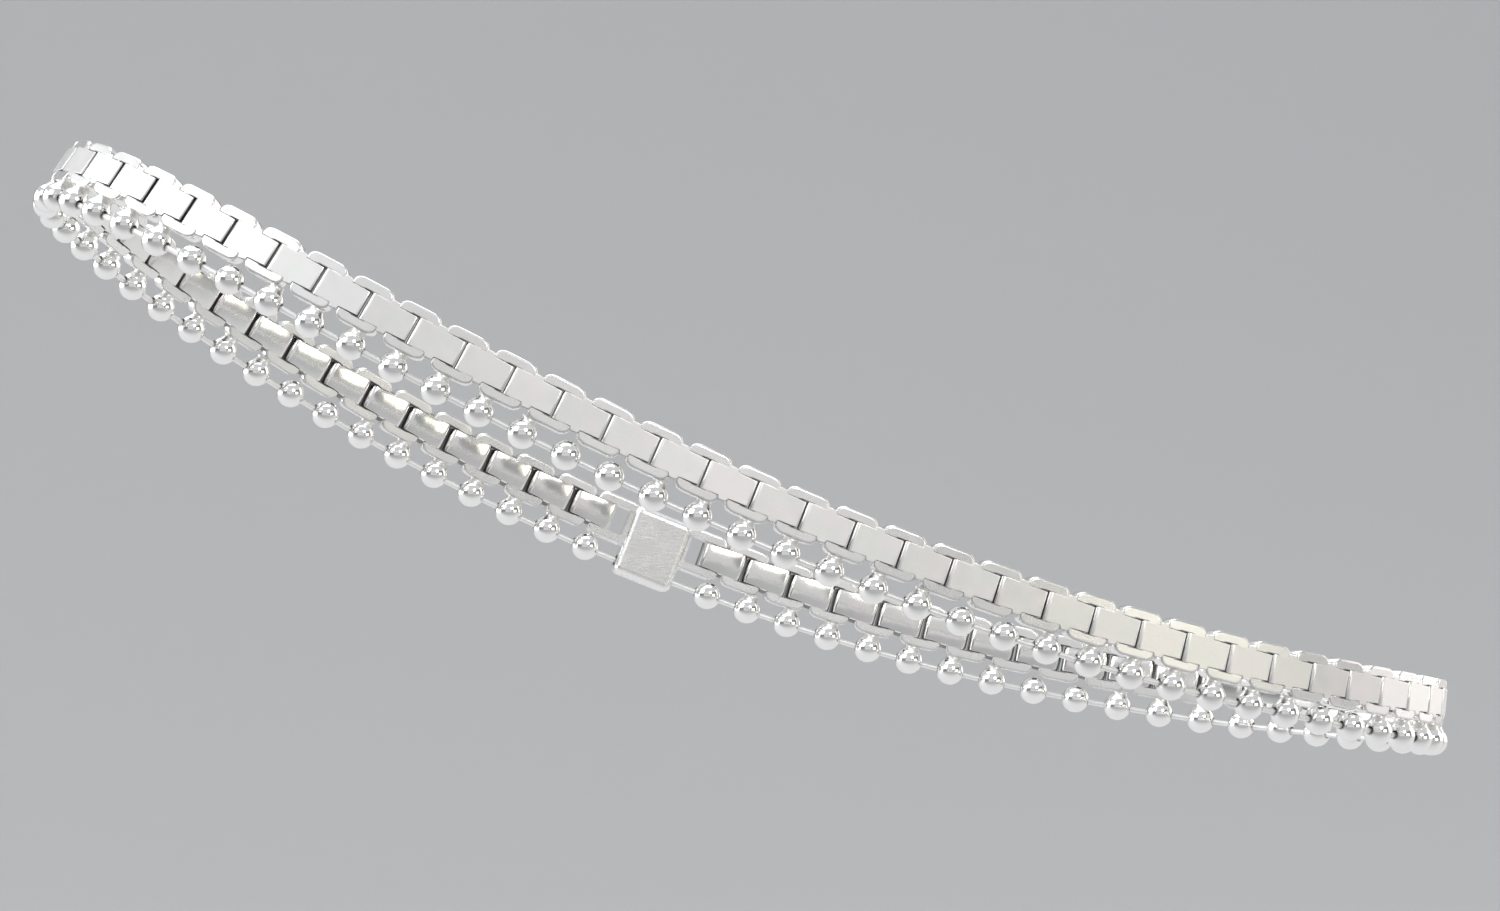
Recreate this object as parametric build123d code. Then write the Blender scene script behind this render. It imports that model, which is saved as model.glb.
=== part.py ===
"""A silver payal: a worn anklet of a flat-faced box chain with a ball strand soldered along its lower edge.

The anklet keeps the slant and the oval it has round an ankle. The origin is the middle of the ankle
opening, +X runs to the heel, -Y is the outer side of the ankle and +Z is up. Sizes are in millimetres.
"""
import os
from math import cos, pi, sin

from build123d import *

# --- The worn loop, measured along the middle line of the box chain ---
loop_half_length = 51.2      # level distance from the middle to the front or to the heel
loop_half_width = 27.6       # level distance from the middle to the ankle's outer or inner side
loop_rise = 39.0             # the front sits this much higher than the heel
loop_bow = 7.5               # the two ends lift this much off a straight slant, as the sides sag
loop_fullness = 0.15         # how much rounder than an ellipse's the front and the heel end are
link_pairs = 73              # pairs of a panel link and a rail link that would fill the whole loop

# --- Square links, hooked through each other in turn ---
hole_radius = 0.20           # rounded corners of a link's hole

panel_length = 3.48          # panel link, along the chain
panel_end = 0.70             # its end walls, which hook round the rail links' end walls
panel_wall = 0.26            # its front and back walls
panel_depth = 1.44           # from its flat front face to its back
panel_height = 1.80          # width of its strip, which is the height of the flat face
panel_face_radius = 0.28     # bends at the two ends of the flat face
panel_back_radius = 0.45     # bends at the two ends of the back
panel_bevel = 0.08           # bevel round its upper and lower rims

rail_length = 3.54           # rail link, along the chain
rail_end = 0.73              # its end walls
rail_corner = 0.69           # its rounded outer corners
rail_height = 3.55           # from its top rail's upper side to its bottom rail's lower side
rail_wall = 0.72             # thickness of the two rails
rail_depth = 1.20            # depth of the rails, front to back
rail_end_depth = 0.52        # depth of its end walls, which lie inside the panel links
rail_rounding = 0.20         # rounding of the rails' outer edges

# --- The ball strand under the box chain ---
ball_radius = 1.07
ball_gap = 0.10              # left between a ball and the rail above it, and bridged by the solder
balls_per_run = 9            # nine balls take up the length ...
links_per_run = 8            # ... of eight link pairs
wire_radius = 0.21           # the wire runs straight from ball to ball
bore_radius = 0.44           # hole through a ball, clear of the bend in the wire
solder_radius = 0.42
solder_reach = 1.30          # a ball further than this from a rail link's middle has no solder

# --- The plain clasp, in the middle of the hidden inner side ---
clasp_span = 1               # link pairs from the clasp's middle to the middle of each of its eyes
clasp_thickness = 2.20
clasp_overlap = 0.44         # how far the body runs into the wall of each eye
clasp_foot = 0.75            # body left under the wire's sockets
clasp_rounding = 0.60
socket_depth = 1.60          # how deep each end of the wire goes into the clasp

ball_drop = rail_height / 2 + ball_gap + ball_radius     # the wire's middle below the chain's


def loop_point(turn):
    """A point of the worn loop, at a fraction of a turn counted from the heel."""
    reach = cos(2 * pi * turn)
    return Vector(
        loop_half_length * reach,
        loop_half_width * sin(2 * pi * turn) * (1 + loop_fullness * reach**2),
        loop_bow * reach**2 - loop_rise / 2 * reach,
    )


loop_knots = 48
loop = Spline(*[loop_point(i / loop_knots) for i in range(loop_knots)], periodic=True)
pitch = loop.length / link_pairs
clasp_place = 0.25                                        # fraction of the loop, at the inner side


def seat(pairs, drop=0.0):
    """The plane of a piece, so many link pairs on from the clasp: x along the chain, y up, z outward."""
    place = (clasp_place + pairs / link_pairs) % 1.0
    middle = loop.position_at(place)
    slope = (2 * loop_bow * middle.X / loop_half_length - loop_rise / 2) / loop_half_length
    along = loop.tangent_at(place).normalized()
    outward = along.cross(Vector(-slope, 0, 1)).normalized()
    up = outward.cross(along)
    return Plane(origin=middle - up * drop, x_dir=along, z_dir=outward)


# --- Link shapes, each about its own middle with x along the chain, y up and z outward ---
def panel_link_shape():
    """A square ring lying flat, whose front wall is lapped to a flat panel."""
    outline = Rectangle(panel_length, panel_depth)
    outline = fillet(outline.vertices().group_by(Axis.Y)[0], panel_back_radius)
    outline = fillet(outline.vertices().group_by(Axis.Y)[-1], panel_face_radius)
    hole = RectangleRounded(panel_length - 2 * panel_end, panel_depth - 2 * panel_wall, hole_radius)
    underside = Plane(origin=(0, panel_height / 2, 0), x_dir=(1, 0, 0), z_dir=(0, -1, 0))
    link = extrude(underside * (outline - hole), panel_height)
    face_edges = link.faces().sort_by(Axis.Z)[-1].edges().filter_by(Axis.X)   # the bevel runs on round
    return chamfer(face_edges, panel_bevel)


def rail_link_shape():
    """A ring standing edge-on, whose top and bottom walls are the chain's two rails.

    Its end walls are thinner, so that the panel links round them lie almost level with the rails.
    """
    hole_length, hole_height = rail_length - 2 * rail_end, rail_height - 2 * rail_wall
    outline = RectangleRounded(rail_length, rail_height, rail_corner)
    body = extrude(Pos(0, 0, -rail_depth / 2) * outline, rail_depth)
    rims = body.faces().sort_by(Axis.Z)
    body = fillet(rims[0].edges() + rims[-1].edges(), rail_rounding)
    hole = RectangleRounded(hole_length, hole_height, hole_radius)
    body -= extrude(Pos(0, 0, -rail_depth) * hole, 2 * rail_depth)
    recess = Box(2 * rail_length, hole_height, rail_depth)
    for side in (-1, 1):
        body -= Pos(0, 0, side * (rail_end_depth + rail_depth) / 2) * recess
    return body


def bore_shape():
    """The hole for the wire, along the chain."""
    return Rotation(0, 90, 0) * Cylinder(bore_radius, 3 * ball_radius)


def ball_shape():
    """A drilled ball."""
    return Sphere(ball_radius) - bore_shape()


def solder_shape():
    """The short neck of solder from a ball's crown up into the rail."""
    bottom, top = ball_radius - solder_radius, ball_radius + ball_gap + rail_wall / 3
    return Pos(0, (bottom + top) / 2, 0) * Rotation(90, 0, 0) * Cylinder(solder_radius, top - bottom)


# --- Places, in link pairs from the clasp's middle ---
panel_places = [n + 0.5 for n in range(clasp_span, link_pairs - clasp_span)]
rail_places = list(range(clasp_span + 1, link_pairs - clasp_span))
ball_step = links_per_run / balls_per_run
clasp_half = clasp_span + (rail_end - rail_length / 2) / pitch
first_ball = clasp_half + (ball_radius + 2 * ball_gap) / pitch
middle_rail = link_pairs // 2
ball_places = [
    middle_rail + n * ball_step
    for n in range(-link_pairs, link_pairs)
    if first_ball <= middle_rail + n * ball_step <= link_pairs - first_ball
]

# --- Panel links ---
panel_shape = panel_link_shape()
panel_links = [seat(place).location * panel_shape for place in panel_places]

# --- Rail links with the balls soldered under them, and the balls left free under the joints ---
rail_shape, free_shape = rail_link_shape(), ball_shape()
soldered_shape = free_shape + solder_shape()
rail_links = {place: seat(place).location * rail_shape for place in rail_places}
free_balls = []
for place in ball_places:
    ball_seat = seat(place, ball_drop).location
    rail = round(place)
    if abs(place - rail) * pitch <= solder_reach and rail in rail_links:
        rail_links[rail] = rail_links[rail] + ball_seat * soldered_shape
    else:
        free_balls.append(ball_seat * free_shape)

# --- The wire that runs through every ball and into both ends of the clasp ---
wire_start = clasp_half - socket_depth / pitch
wire_places = [wire_start] + ball_places + [link_pairs - wire_start]
wire_line = Polyline(*[seat(place, ball_drop).origin for place in wire_places])
wire_section = Plane(origin=wire_line @ 0, z_dir=wire_line % 0) * Circle(wire_radius)
ball_wire = sweep(wire_section, path=wire_line, transition=Transition.RIGHT)

# --- The clasp: a plain rounded block with an eye at each end for the last panel links ---
clasp_length = 2 * (clasp_span * pitch - rail_length / 2 + clasp_overlap)
clasp_top = rail_height / 2
clasp_bottom = -ball_drop - wire_radius - clasp_foot
clasp_seat = seat(0)
block = Box(clasp_length, clasp_top - clasp_bottom, clasp_thickness)
block = Pos(0, (clasp_top + clasp_bottom) / 2, 0) * fillet(block.edges(), clasp_rounding)
clasp = clasp_seat.location * block
for side in (-clasp_span, clasp_span):
    clasp = clasp + seat(side).location * rail_shape
    socket = seat(side * clasp_length / 2 / pitch, ball_drop).location * bore_shape()
    clasp = clasp - socket

os.makedirs("parts", exist_ok=True)
nodes = {
    "panel_links": Compound(children=panel_links),
    "rail_links": Compound(children=list(rail_links.values())),
    "free_balls": Compound(children=free_balls),
    "ball_wire": ball_wire,
    "clasp": clasp,
}
for name, shape in nodes.items():
    export_step(shape, f"parts/{name}.step")
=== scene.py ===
import random
from math import cos, pi, radians, sin

import bmesh
import bpy
import numpy as np
from mathutils import Matrix, Vector


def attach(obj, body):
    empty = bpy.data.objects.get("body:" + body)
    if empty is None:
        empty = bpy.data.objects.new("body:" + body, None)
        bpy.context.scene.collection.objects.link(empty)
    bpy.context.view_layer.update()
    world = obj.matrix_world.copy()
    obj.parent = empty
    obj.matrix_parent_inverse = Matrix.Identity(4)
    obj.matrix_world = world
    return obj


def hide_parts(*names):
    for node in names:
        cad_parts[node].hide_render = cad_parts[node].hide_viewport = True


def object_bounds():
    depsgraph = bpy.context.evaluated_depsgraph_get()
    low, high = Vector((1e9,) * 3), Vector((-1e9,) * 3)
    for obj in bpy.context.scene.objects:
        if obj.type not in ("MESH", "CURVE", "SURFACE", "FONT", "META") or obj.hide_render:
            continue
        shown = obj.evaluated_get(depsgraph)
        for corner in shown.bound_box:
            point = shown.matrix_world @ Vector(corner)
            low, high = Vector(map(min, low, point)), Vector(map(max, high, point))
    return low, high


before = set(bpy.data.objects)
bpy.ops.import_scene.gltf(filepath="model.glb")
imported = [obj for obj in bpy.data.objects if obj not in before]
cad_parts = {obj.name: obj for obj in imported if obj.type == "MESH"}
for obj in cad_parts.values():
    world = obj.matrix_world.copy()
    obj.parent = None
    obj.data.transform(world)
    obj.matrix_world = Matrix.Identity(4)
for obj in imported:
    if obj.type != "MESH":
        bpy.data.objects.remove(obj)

cad_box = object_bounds()


# Panel links: square rings of sterling silver strip that lie flat in the box chain. Each is bent up,
# hooked through its neighbours and soldered shut, and then the whole chain's face is lapped flat,
# which leaves a satin panel on every link with a thin bright bevel round it.

mm = 0.001
link_pairs = 73                      # pairs of links that would fill the whole loop
clasp_place = 0.25                   # the clasp's fraction of the loop, counted from the heel
half_length, half_width = 51.2 * mm, 27.6 * mm
rise, bow, fullness = 39.0 * mm, 7.5 * mm, 0.15


def loop_points(turn):
    """Points of the worn loop's middle line, at fractions of a turn from the heel."""
    reach = np.cos(2 * pi * turn)
    side = np.sin(2 * pi * turn) * (1 + fullness * reach**2)
    return np.stack([half_length * reach, half_width * side, bow * reach**2 - rise / 2 * reach], -1)


turns = np.linspace(0, 1, 40001)
line = loop_points(turns)
run = np.concatenate([[0], np.cumsum(np.linalg.norm(np.diff(line, axis=0), axis=1))])
pitch = run[-1] / link_pairs


def seat(pairs, drop=0.0):
    """The place of a piece, so many link pairs on from the clasp: x along the chain, y up, z outward."""
    length = (clasp_place + pairs / link_pairs) % 1 * run[-1]
    turn = np.interp(length, run, turns)
    middle, ahead, behind = (Vector(loop_points((turn + step) % 1)) for step in (0, 1e-5, -1e-5))
    along = (ahead - behind).normalized()
    slope = (2 * bow * middle.x / half_length - rise / 2) / half_length
    outward = along.cross(Vector((-slope, 0, 1))).normalized()
    up = outward.cross(along)
    spot = middle - up * drop
    facing = Matrix((along, up, outward)).transposed().to_4x4()
    return Matrix.Translation(spot) @ facing


def tube(bm, length, height, width, left_radius, right_radius, far_radius, steps):
    """An open square tube about z with bent corners: left and right ones at low y, far ones at high y."""
    size = Matrix.Diagonal((length, height, width, 1))
    verts = bmesh.ops.create_cube(bm, size=1, matrix=size)["verts"]
    faces = {face for vert in verts for face in vert.link_faces}
    caps = [face for face in faces if abs(face.calc_center_median().z) > width / 4]
    bmesh.ops.delete(bm, geom=caps, context="FACES_ONLY")
    edges = {edge for vert in verts for edge in vert.link_edges}
    upright = [edge for edge in edges if abs(edge.verts[0].co.z - edge.verts[1].co.z) > width / 2]
    near = [edge for edge in upright if edge.verts[0].co.y < 0]
    left = [edge for edge in near if edge.verts[0].co.x < 0]
    right = [edge for edge in near if edge.verts[0].co.x > 0]
    far = [edge for edge in upright if edge.verts[0].co.y > 0]
    for corner, radius in ((left, left_radius), (right, right_radius), (far, far_radius)):
        bmesh.ops.bevel(
            bm, geom=corner, offset=radius, offset_type="OFFSET", affect="EDGES",
            segments=steps, profile=0.5, material=-1,
        )


def square_ring(
    length, height, width, end_wall, side_wall, hole_radius, left_radius, right_radius, far_radius, rim
):
    """A ring of strip with its hole along z: two tubes bridged at both ends, the outer rims rounded."""
    bm = bmesh.new()
    tube(bm, length, height, width, left_radius, right_radius, far_radius, 4)
    outer = set(bm.edges)
    hole_height = height - 2 * side_wall
    tube(bm, length - 2 * end_wall, hole_height, width, hole_radius, hole_radius, hole_radius, 4)
    rims = [edge for edge in bm.edges if edge.is_boundary]
    outside = [edge for edge in rims if edge in outer]
    for side in (-1, 1):
        bmesh.ops.bridge_loops(bm, edges=[e for e in rims if e.verts[0].co.z * side > 0])
    bmesh.ops.bevel(
        bm, geom=outside, offset=rim, offset_type="OFFSET", affect="EDGES",
        segments=2, profile=0.5, material=-1,
    )
    bmesh.ops.recalc_face_normals(bm, faces=bm.faces)
    return bm


def string_up(name, shape, seats):
    """One piece from many copies of a shape, each keeping its own coordinates and a lot number."""
    pattern = bpy.data.meshes.new(name + "_pattern")
    shape.to_mesh(pattern)
    whole = bmesh.new()
    local = whole.verts.layers.float_vector.new("local")
    lot = whole.verts.layers.float.new("lot")
    for place in seats:
        start = len(whole.verts)
        whole.from_mesh(pattern)
        whole.verts.ensure_lookup_table()
        fresh = whole.verts[start:]
        number = random.random()
        for vert in fresh:
            vert[local] = vert.co
            vert[lot] = number
        bmesh.ops.transform(whole, matrix=place, verts=fresh)
    mesh = bpy.data.meshes.new(name)
    whole.to_mesh(mesh)
    whole.free()
    shape.free()
    bpy.data.meshes.remove(pattern)
    mesh.shade_smooth()
    mesh.set_sharp_from_angle(angle=radians(50))
    piece = bpy.data.objects.new(name, mesh)
    bpy.context.collection.objects.link(piece)
    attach(piece, "root")
    return piece


class Tone:
    """A value inside a material, with arithmetic that adds the Math nodes."""

    def __init__(self, tree, socket=None):
        self.tree, self.socket = tree, socket

    def node(self, kind, settings=None, sockets=None, out=0):
        made = self.tree.nodes.new(kind)
        for key, value in (settings or {}).items():
            setattr(made, key, value)
        for key, value in (sockets or {}).items():
            if isinstance(value, Tone):
                self.tree.links.new(value.socket, made.inputs[key])
            else:
                made.inputs[key].default_value = value
        return Tone(self.tree, made.outputs[out])

    def math(self, operation, first, second=0.0):
        return self.node("ShaderNodeMath", {"operation": operation}, {0: first, 1: second})

    def __add__(self, other): return self.math("ADD", self, other)
    def __radd__(self, other): return self.math("ADD", other, self)
    def __sub__(self, other): return self.math("SUBTRACT", self, other)
    def __rsub__(self, other): return self.math("SUBTRACT", other, self)
    def __mul__(self, other): return self.math("MULTIPLY", self, other)
    def __rmul__(self, other): return self.math("MULTIPLY", other, self)
    def __abs__(self): return self.math("ABSOLUTE", self)

    def most(self, other):
        return self.math("MAXIMUM", self, other)

    def rising(self, start, end):
        """0 below start, 1 above end, smooth between."""
        return self.node(
            "ShaderNodeMapRange", {"interpolation_type": "SMOOTHSTEP"},
            {"Value": self, "From Min": start, "From Max": end},
        )


def metal(name):
    """An empty metal material: its shader and a Tone to write its sockets with."""
    material = bpy.data.materials.new(name)
    material.use_nodes = True
    shader = material.node_tree.nodes["Principled BSDF"]
    shader.inputs["Metallic"].default_value = 1.0
    return material, shader, Tone(material.node_tree)


def feed(shader, value, socket):
    """Lead a varying value into one of the shader's sockets."""
    value.tree.links.new(value.socket, shader.inputs[socket])


def relief(shader, strength, depth, height):
    """Work a varying height into the shader's normal."""
    sockets = {"Strength": strength, "Distance": depth, "Height": height}
    feed(shader, height.node("ShaderNodeBump", sockets=sockets), "Normal")


def own_place(tone):
    """A point's place inside its own link or ball, that place along each axis, and the lot number."""
    place = tone.node("ShaderNodeAttribute", {"attribute_name": "local"}, out=1)
    lot = tone.node("ShaderNodeAttribute", {"attribute_name": "lot"}, out=2)
    axes = tone.node("ShaderNodeSeparateXYZ", sockets={0: place}).socket.node
    return place, [Tone(tone.tree, axes.outputs[n]) for n in range(3)], lot


def noise(tone, place, lot, scale, detail=2.0):
    """Noise that differs from copy to copy, with a scale in patches per metre along each axis."""
    moved = tone.node("ShaderNodeCombineXYZ", sockets={0: lot * 0.31, 1: lot * 0.17, 2: lot * 0.23})
    moved = tone.node("ShaderNodeVectorMath", {"operation": "ADD"}, {0: place, 1: moved})
    stretched = tone.node("ShaderNodeMapping", sockets={"Vector": moved, "Scale": scale})
    return tone.node("ShaderNodeTexNoise", sockets={"Vector": stretched, "Scale": 1.0, "Detail": detail})


def mixed(tone, share, first, second):
    """A colour between two, by a share from 0 to 1."""
    return tone.node("ShaderNodeMix", {"data_type": "RGBA"}, {0: share, 6: first, 7: second}, out=2)


random.seed(11)
panel_length, panel_depth, panel_height = 3.67 * mm, 1.32 * mm, 2.08 * mm
panel_end, panel_wall = 0.78 * mm, 0.27 * mm
back_length, right_height = 0.95, 0.90            # the back is shorter and the right end lower, as shares
swell_top, swell_foot = 0.26 * mm, 0.36 * mm      # where a panel swells out between the ends of two rails
swell_height = 1.25                               # how much taller it is there, as a share
bm = square_ring(
    length=panel_length, height=panel_depth, width=panel_height,
    end_wall=panel_end, side_wall=panel_wall, hole_radius=0.2 * mm,
    left_radius=0.30 * mm, right_radius=0.10 * mm, far_radius=0.42 * mm, rim=0.03 * mm,
)
bmesh.ops.scale(bm, verts=[vert for vert in bm.verts if vert.co.y > 0], vec=(back_length, 1, 1))
bmesh.ops.scale(bm, verts=[vert for vert in bm.verts if vert.co.x > 0], vec=(1, 1, right_height))
bmesh.ops.rotate(bm, verts=bm.verts, matrix=Matrix.Rotation(radians(-90), 3, "X"))
front_faces = [face for face in bm.faces if face.calc_center_median().z > panel_depth / 3]
flats = [face for face in front_faces if face.normal.z > 0.99]
bmesh.ops.inset_individual(bm, faces=flats, thickness=0.05 * mm)
for cut in (-swell_foot, -swell_top, swell_top, swell_foot):
    bmesh.ops.bisect_plane(
        bm, geom=list(bm.verts) + list(bm.edges) + list(bm.faces), plane_co=(cut, 0, 0), plane_no=(1, 0, 0),
    )
swell = [vert for vert in bm.verts if abs(vert.co.x) < swell_top + 0.01 * mm and vert.co.z > 0.2 * mm]
bmesh.ops.scale(bm, verts=swell, vec=(1, swell_height, 1))
panel_front = panel_depth / 2
panels = string_up(
    "panel_links_lapped", bm,
    [
        seat(n + 0.5)
        @ Matrix.Rotation(radians(random.uniform(-0.7, 0.7)), 4, "Y")
        @ Matrix.Rotation(radians(random.uniform(-0.6, 0.6)), 4, "X")
        for n in range(1, link_pairs - 1)
    ],
)
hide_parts("panel_links")

silver, pale_silver, dull_silver = (0.90, 0.893, 0.873, 1), (0.95, 0.947, 0.935, 1), (0.80, 0.79, 0.765, 1)
# Near black, mixed in for tarnish and painted shade in the links' joints and holes, for a painted shadow
# line along the rails' rims, and round the balls' bores.
near_black = (0.10, 0.095, 0.09, 1)

material, shader, tone = metal("satin_silver_panels")
place, (x, y, z), lot = own_place(tone)
grain = noise(tone, place, lot, (700, 16000, 6000), 3.0)         # lapping marks that run along the chain
cloud = noise(tone, place, lot, (900, 900, 900))
nicks = noise(tone, place, lot, (5000, 5000, 5000), 1.0)
face = z.rising(panel_front - 0.05 * mm, panel_front - 0.01 * mm)

# Tarnish and painted shade darken the ends behind the front, the walls of the hole, and the top and bottom
# sides towards the right end: the shade that falls in the slits and between the links is painted in.
tip = panel_length / 2
ends = abs(x).rising(tip - 0.09 * mm, tip - 0.03 * mm)
joint = ends * (1 - z.rising(panel_front - 0.22 * mm, panel_front - 0.05 * mm))
hole_tip, hole_front = tip - panel_end, panel_front - panel_wall
inside_x = 1 - abs(x).rising(hole_tip - 0.06 * mm, hole_tip + 0.04 * mm)
inside_z = 1 - abs(z).rising(hole_front - 0.01 * mm, hole_front + 0.04 * mm)
edges = abs(y).rising(0.44 * panel_height, 0.45 * panel_height) * (1 - z.rising(0.40 * mm, 0.62 * mm))
tarnish_and_shade = joint.most(inside_x * inside_z).most(edges * x.rising(0.3 * mm, 0.9 * mm)) * (0.65 + 0.35 * cloud)

drift = noise(tone, place, lot, (450, 450, 450), 1.0)             # a faint green or pink cast
tint = mixed(tone, drift.rising(0.35, 0.65), (0.87, 0.895, 0.855, 1), (0.93, 0.885, 0.885, 1))
tint = mixed(tone, 0.5, tint, mixed(tone, 0.55 * lot + 0.45 * cloud, dull_silver, pale_silver))
feed(shader, mixed(tone, tarnish_and_shade, tint, near_black), "Base Color")
satin = 0.26 + 0.10 * cloud + 0.08 * grain + 0.05 * lot
feed(shader, face * satin + (1 - face) * (0.14 + 0.06 * cloud) + 0.3 * tarnish_and_shade, "Roughness")
relief(shader, 0.3, 0.02 * mm, face * grain * 0.7 + nicks * 0.5 + cloud)
panels.data.materials.append(material)


# Rail links: rings that stand edge-on between the panels, their polished top and bottom bars being the
# two rails of the band. Each is cast with thin end walls, which the panel links are hooked round, and
# tumbled until its corners are round.

rail_length, rail_height, rail_depth = 3.22 * mm, 3.52 * mm, 1.22 * mm
rail_end, rail_wall, rail_end_depth = 0.56 * mm, 0.74 * mm, 0.52 * mm
corner_length, corner_height = 0.76 * mm, 0.56 * mm
outer_rim, inner_rim, end_rim = 0.18 * mm, 0.04 * mm, 0.08 * mm
stretch = corner_length / corner_height           # a bar is bevelled short and then drawn out
bm = bmesh.new()
size = Matrix.Diagonal((rail_length / stretch, rail_wall, rail_depth, 1))
bmesh.ops.create_cube(bm, size=1, matrix=size)
across = [edge for edge in bm.edges if abs(edge.verts[0].co.z - edge.verts[1].co.z) > 0]
corners = [edge for edge in across if all(vert.co.y > 0 for vert in edge.verts)]
bmesh.ops.bevel(
    bm, geom=corners, offset=corner_height, offset_type="OFFSET", affect="EDGES",
    segments=5, profile=0.5, material=-1,
)
bmesh.ops.scale(bm, verts=bm.verts, vec=(stretch, 1, 1))
rims = [edge for edge in bm.edges if abs(edge.verts[0].co.z + edge.verts[1].co.z) > 0.99 * rail_depth]
inner = [edge for edge in rims if all(vert.co.y < -0.49 * rail_wall for vert in edge.verts)]
outer = [edge for edge in rims if edge not in inner]
for group, radius, steps in ((outer, outer_rim, 3), (inner, inner_rim, 1)):
    left_over = [edge for edge in group if edge.is_valid]
    bmesh.ops.bevel(
        bm, geom=left_over, offset=radius, offset_type="OFFSET", affect="EDGES",
        segments=steps, profile=0.5, material=-1,
    )
flats = [face for face in bm.faces if abs(face.normal.z) > 0.99]
bmesh.ops.inset_individual(bm, faces=flats, thickness=0.03 * mm)
bmesh.ops.translate(bm, verts=bm.verts, vec=(0, (rail_height - rail_wall) / 2, 0))
bmesh.ops.mirror(bm, geom=list(bm.verts) + list(bm.edges) + list(bm.faces), axis="Y", merge_dist=0)
for side in (-1, 1):
    size = Matrix.Diagonal((rail_end, rail_height - 1.5 * rail_wall, rail_end_depth, 1))
    place = Matrix.Translation((side * (rail_length - rail_end) / 2, 0, 0))
    verts = bmesh.ops.create_cube(bm, size=1, matrix=place @ size)["verts"]
    edges = list({edge for vert in verts for edge in vert.link_edges})
    bmesh.ops.bevel(
        bm, geom=edges, offset=end_rim, offset_type="OFFSET", affect="EDGES",
        segments=2, profile=0.5, material=-1,
    )
bmesh.ops.recalc_face_normals(bm, faces=bm.faces)
rails = string_up(
    "rail_links_polished", bm,
    [
        seat(n) @ Matrix.Rotation(radians(random.uniform(-0.5, 0.5)), 4, "Z")
        for n in range(2, link_pairs - 1)
    ],
)
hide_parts("rail_links")

material, shader, tone = metal("polished_silver_rails")
place, (x, y, z), lot = own_place(tone)
cloud = noise(tone, place, lot, (1100, 1100, 1100), 3.0)
scuffs = noise(tone, place, lot, (1500, 12000, 12000))
dents = noise(tone, place, lot, (420, 420, 420), 1.0)
lapped = abs(z).rising(rail_depth / 2 - 0.05 * mm, rail_depth / 2 - 0.01 * mm)
hole_top = rail_height / 2 - rail_wall
# Painted shade with some tarnish: the walls of the hole under each joint are darkened.
under_joint = 1 - abs(x).rising(0.40 * mm, 0.75 * mm)
inside = under_joint * (1 - abs(y).rising(hole_top + 0.02 * mm, hole_top + 0.11 * mm))
# A thin dark line runs along the rims: a painted shadow in the polished bevel's reflection.
rim_shadow_line = abs(z).rising(0.51 * mm, 0.55 * mm) * (1 - abs(z).rising(0.585 * mm, 0.605 * mm))
tarnish_and_shade = (inside * (0.7 + 0.3 * cloud)).most(0.32 * rim_shadow_line)
feed(shader, mixed(tone, tarnish_and_shade, mixed(tone, cloud, silver, pale_silver), near_black), "Base Color")
feed(shader, 0.09 + 0.10 * cloud + 0.04 * lot + 0.12 * lapped + 0.3 * tarnish_and_shade, "Roughness")
relief(shader, 0.3, 0.02 * mm, dents * 3.0 + cloud + scuffs * 0.4)
rails.data.materials.append(material)


# Balls: the strand under the band, of polished silver balls drilled for the wire. Where a ball lies
# under a rail it's soldered to it, and where it lies under a joint it's held by the wire alone.

ball_radius = 1.07 * mm
bore_radius = 0.27 * mm
ball_gap = 0.06 * mm                 # between a ball's crown and the rail, filled by the solder
ball_drop = rail_height / 2 + ball_gap + ball_radius
ball_step = 8 / 9                    # nine balls take up the length of eight link pairs
solder_reach = 1.30 * mm             # how far from a rail's middle a ball can still be soldered to it
clasp_half = 1 - 1.04 * mm / pitch   # from the clasp's middle to the holes of its eyes, in link pairs
clasp_room = 0.2 * mm                # left between them and the first ball


def turned(profile, steps):
    """A shape spun about x from a line of (x, radius) points."""
    bm = bmesh.new()
    verts = [bm.verts.new((x, radius, 0)) for x, radius in profile]
    edges = [bm.edges.new(pair) for pair in zip(verts, verts[1:])]
    bmesh.ops.spin(
        bm, geom=verts + edges, cent=(0, 0, 0), axis=(1, 0, 0), angle=2 * pi, steps=steps,
        use_merge=True, use_duplicate=False,
    )
    bmesh.ops.remove_doubles(bm, verts=bm.verts, dist=1e-7)
    bmesh.ops.recalc_face_normals(bm, faces=bm.faces)
    return bm


lip = np.arcsin(bore_radius / ball_radius)
arc_steps = 14
arc = [lip + (pi - 2 * lip) * n / arc_steps for n in range(arc_steps + 1)]
outline = [(-ball_radius * cos(angle), ball_radius * sin(angle)) for angle in arc]
bore_end, bore_inside = 0.8 * ball_radius, bore_radius * 0.9       # the bore narrows a little inside
left_end, right_end = (-bore_end, bore_inside), (bore_end, bore_inside)
profile = [left_end] + outline + [right_end, left_end]
first = clasp_half + (ball_radius + clasp_room) / pitch
middle_rail = link_pairs // 2
places = [middle_rail + n * ball_step for n in range(-link_pairs, link_pairs)]
places = [p for p in places if first <= p <= link_pairs - first]
under_rail = [p for p in places if abs(p - round(p)) * pitch <= solder_reach]
soldered = [p for p in under_rail if 2 <= round(p) <= link_pairs - 2]
free = [p for p in places if p not in soldered]

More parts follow.
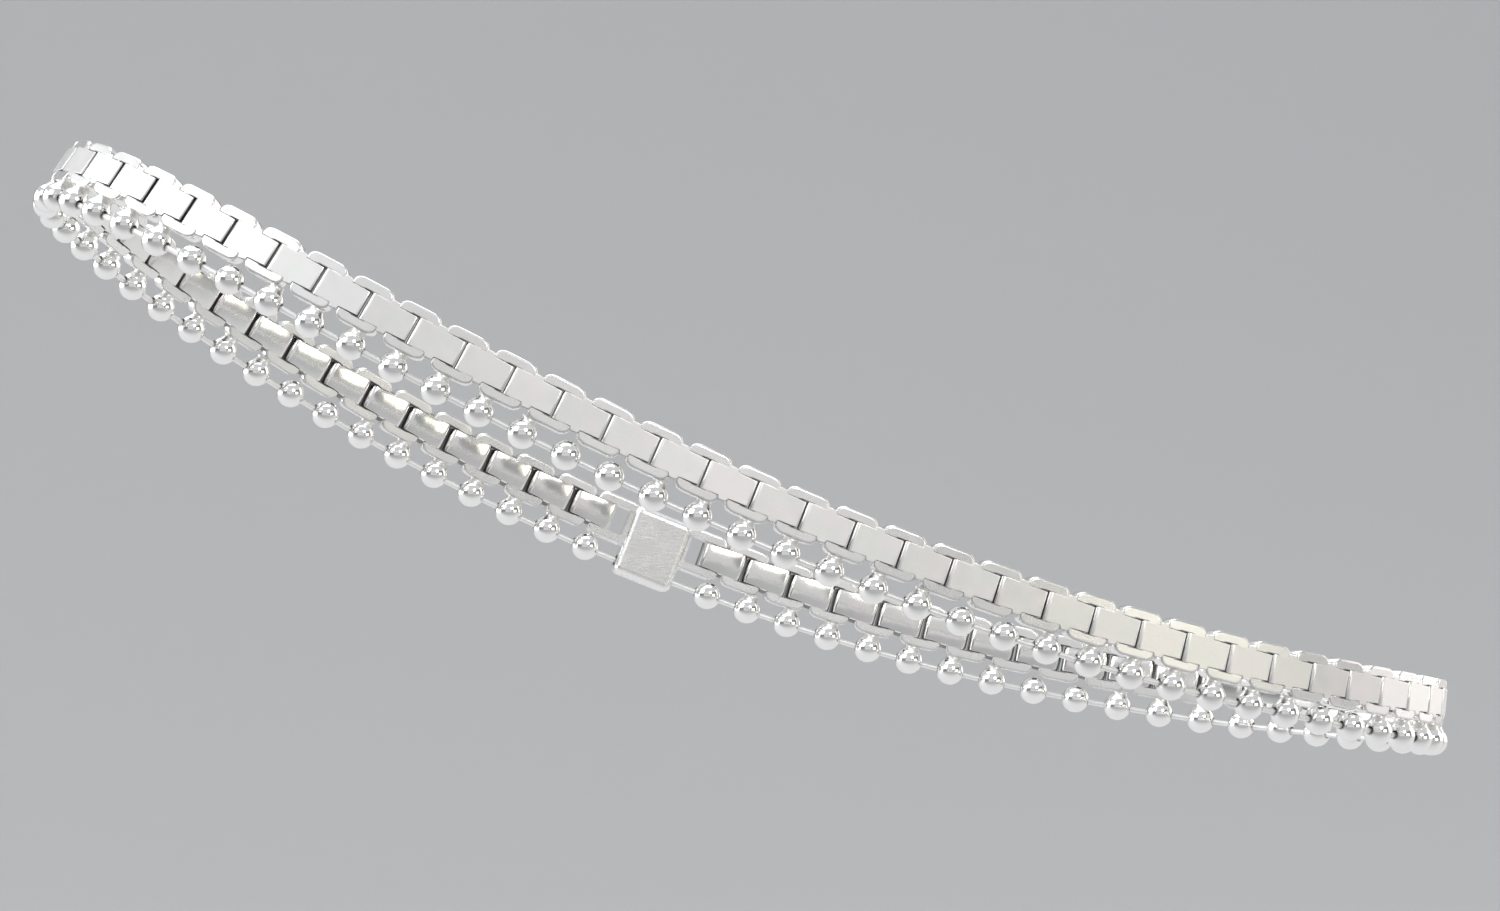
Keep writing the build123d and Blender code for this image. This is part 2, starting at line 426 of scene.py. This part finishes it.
material, shader, tone = metal("bright_silver_balls")
place, (x, y, z), lot = own_place(tone)
cloud = noise(tone, place, lot, (1400, 1400, 1400), 3.0)
drilled = abs(x).rising(0.90 * ball_radius, 0.99 * ball_radius)
feed(shader, mixed(tone, drilled, mixed(tone, cloud, silver, pale_silver), near_black), "Base Color")
feed(shader, 0.05 + 0.09 * cloud + 0.3 * drilled, "Roughness")
relief(shader, 0.12, 0.02 * mm, cloud)
for name, group, node in (("soldered_balls", soldered, "rail_links"), ("loose_balls", free, "free_balls")):
    balls = string_up(name, turned(profile, 20), [seat(p, ball_drop) for p in group])
    balls.data.materials.append(material)
    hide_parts(node)


# Solder necks: short beads of silver solder. Each has flowed into the gap between a ball's crown and
# the rail above it, so that it's wide on the ball, narrow at the crown and wider again at the rail.

neck = [
    (0.72 * ball_radius, 0.75 * mm), (0.82 * ball_radius, 0.66 * mm), (0.93 * ball_radius, 0.59 * mm),
    (ball_radius + 0.02 * mm, 0.56 * mm), (ball_radius + 0.09 * mm, 0.57 * mm),
    (ball_radius + 0.17 * mm, 0.61 * mm),
]
foot, top = (neck[0][0], 0.0), (neck[-1][0], 0.0)      # the closed ends, hidden in the ball and the rail
bm = turned([foot] + neck + [top], 16)
bmesh.ops.rotate(bm, verts=bm.verts, matrix=Matrix.Rotation(radians(90), 3, "Z"))
necks = string_up("solder_necks", bm, [seat(p, ball_drop) for p in soldered])
material, shader, tone = metal("silver_solder")
local = tone.node("ShaderNodeTexCoord", out=3)
cloud = tone.node("ShaderNodeTexNoise", sockets={"Vector": local, "Scale": 2500.0, "Detail": 3.0})
feed(shader, 0.22 + 0.2 * cloud, "Roughness")
feed(shader, mixed(tone, cloud, (0.72, 0.71, 0.68, 1), (0.90, 0.89, 0.87, 1)), "Base Color")
relief(shader, 0.3, 0.03 * mm, cloud)
necks.data.materials.append(material)
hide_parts("rail_links")


# Wire and clasp: drawn silver wire that runs through the balls, and the plain block that both strands
# end in. The end links are hooked through the block's eyes, and the wire's ends sit in its sockets.

for node, dullness in (("ball_wire", 0.36), ("clasp", 0.14)):
    material, shader, tone = metal("silver_" + node)
    local = tone.node("ShaderNodeTexCoord", out=3)
    cloud = tone.node("ShaderNodeTexNoise", sockets={"Vector": local, "Scale": 700.0, "Detail": 4.0})
    stretched = tone.node("ShaderNodeMapping", sockets={"Vector": local, "Scale": (1500, 9000, 9000)})
    fine = tone.node("ShaderNodeTexNoise", sockets={"Vector": stretched, "Scale": 1.0, "Detail": 2.0})
    feed(shader, dullness + 0.14 * cloud + 0.10 * fine, "Roughness")
    feed(shader, mixed(tone, cloud, (0.86, 0.855, 0.84, 1), (0.95, 0.945, 0.935, 1)), "Base Color")
    relief(shader, 0.45, 0.02 * mm, fine)
    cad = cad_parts[node]
    cad.data.materials.clear()
    cad.data.materials.append(material)


# Stage: a pale seamless floor that sweeps up into a round wall, soft boxes of light round the anklet
# with one more for the wall, and the camera.

low, high = (Vector(corner) for corner in cad_box)
middle = (low + high) / 2
floor_level, wall_top, wall_distance, sweep_radius = -75 * mm, 0.78, 1.6, 0.75
bm = bmesh.new()
corners = [(0.0, floor_level), (wall_distance, floor_level), (wall_distance, wall_top)]
verts = [bm.verts.new((radius, 0, height)) for radius, height in corners]
edges = [bm.edges.new(pair) for pair in zip(verts, verts[1:])]
bmesh.ops.bevel(
    bm, geom=[verts[1]], offset=sweep_radius, offset_type="OFFSET", affect="VERTICES",
    segments=12, profile=0.5, material=-1,
)
bmesh.ops.spin(
    bm, geom=list(bm.verts) + list(bm.edges), cent=(0, 0, 0), axis=(0, 0, 1), angle=2 * pi, steps=64,
    use_merge=True, use_duplicate=False,
)
bmesh.ops.remove_doubles(bm, verts=bm.verts, dist=1e-6)
bmesh.ops.recalc_face_normals(bm, faces=bm.faces)
mesh = bpy.data.meshes.new("floor")
bm.to_mesh(mesh)
bm.free()
mesh.shade_smooth()
floor = bpy.data.objects.new("floor", mesh)
bpy.context.collection.objects.link(floor)
material = bpy.data.materials.new("pale_floor")
material.use_nodes = True
shader = material.node_tree.nodes["Principled BSDF"]
tone = Tone(material.node_tree)
spot = tone.node("ShaderNodeTexCoord", out=3)
speck = tone.node("ShaderNodeTexNoise", sockets={"Vector": spot, "Scale": 6.0, "Detail": 3.0})
depth = tone.node("ShaderNodeSeparateXYZ", sockets={0: spot}, out=1)
paper = mixed(tone, speck, (0.57, 0.57, 0.575, 1), (0.61, 0.61, 0.61, 1))
# Painted shade: the floor in front of the anklet, towards the camera, is dark grey so the balls reflect a
# darker floor; further back it turns a little darker again.
paper = mixed(tone, depth.rising(-0.16, 0.0), (0.33, 0.33, 0.34, 1), paper)
paper = mixed(tone, depth.rising(0.20, 0.60), paper, (0.53, 0.53, 0.535, 1))
feed(shader, paper, "Base Color")
shader.inputs["Roughness"].default_value = 0.6
mesh.materials.append(material)


def soft_box(name, spot, size, power, warmth=(1, 1, 1), aim=middle):
    """A square area light at a spot, facing the anklet or the wall behind it."""
    light = bpy.data.lights.new(name, "AREA")
    light.shape, light.size, light.energy, light.color = "SQUARE", size, power, warmth
    lamp = bpy.data.objects.new(name, light)
    lamp.location = spot
    lamp.rotation_euler = (aim - Vector(spot)).to_track_quat("-Z", "Y").to_euler()
    bpy.context.collection.objects.link(lamp)


for name, spot, size, power, warmth in (          # metres, metres, watts
    ("key_light", (0.35, -0.95, 0.50), 0.35, 2.0, (1.0, 0.985, 0.96)),
    ("fill_light", (-0.15, -0.80, 0.02), 0.9, 1.05, (1.0, 0.98, 0.965)),
    ("high_left_light", (-0.80, -0.42, 0.62), 0.7, 1.9, (0.98, 0.99, 1.0)),
    ("low_right_light", (0.68, -0.66, -0.05), 0.5, 1.35, (1.0, 0.965, 0.80)),
    ("left_light", (-0.90, 0.28, 0.12), 1.0, 6.0, (0.98, 0.99, 1.0)),
    ("right_light", (0.85, 0.26, 0.10), 0.9, 3.0, (1.0, 0.93, 0.89)),
    ("top_light", (0.0, 0.12, 0.65), 0.7, 2.8, (1.0, 1.0, 1.0)),
):
    soft_box(name, spot, size, power, warmth)
soft_box("wall_light", (0.0, 0.55, 0.95), 0.6, 1.5, aim=Vector((0.0, 1.6, 0.1)))

world = bpy.data.worlds.new("studio")
world.use_nodes = True
world.node_tree.nodes["Background"].inputs["Color"].default_value = (0.9, 0.92, 0.95, 1)
world.node_tree.nodes["Background"].inputs["Strength"].default_value = 0.7
bpy.context.scene.world = world

camera_data = bpy.data.cameras.new("camera")
camera_data.lens = 148
camera_data.clip_start = 0.01
camera = bpy.data.objects.new("camera", camera_data)
camera.location = (-104 * mm, -443 * mm, -6 * mm)
camera.rotation_euler = (middle - camera.location).to_track_quat("-Z", "Y").to_euler()
bpy.context.collection.objects.link(camera)
bpy.context.scene.camera = camera
bpy.context.scene.view_settings.view_transform = "Standard"
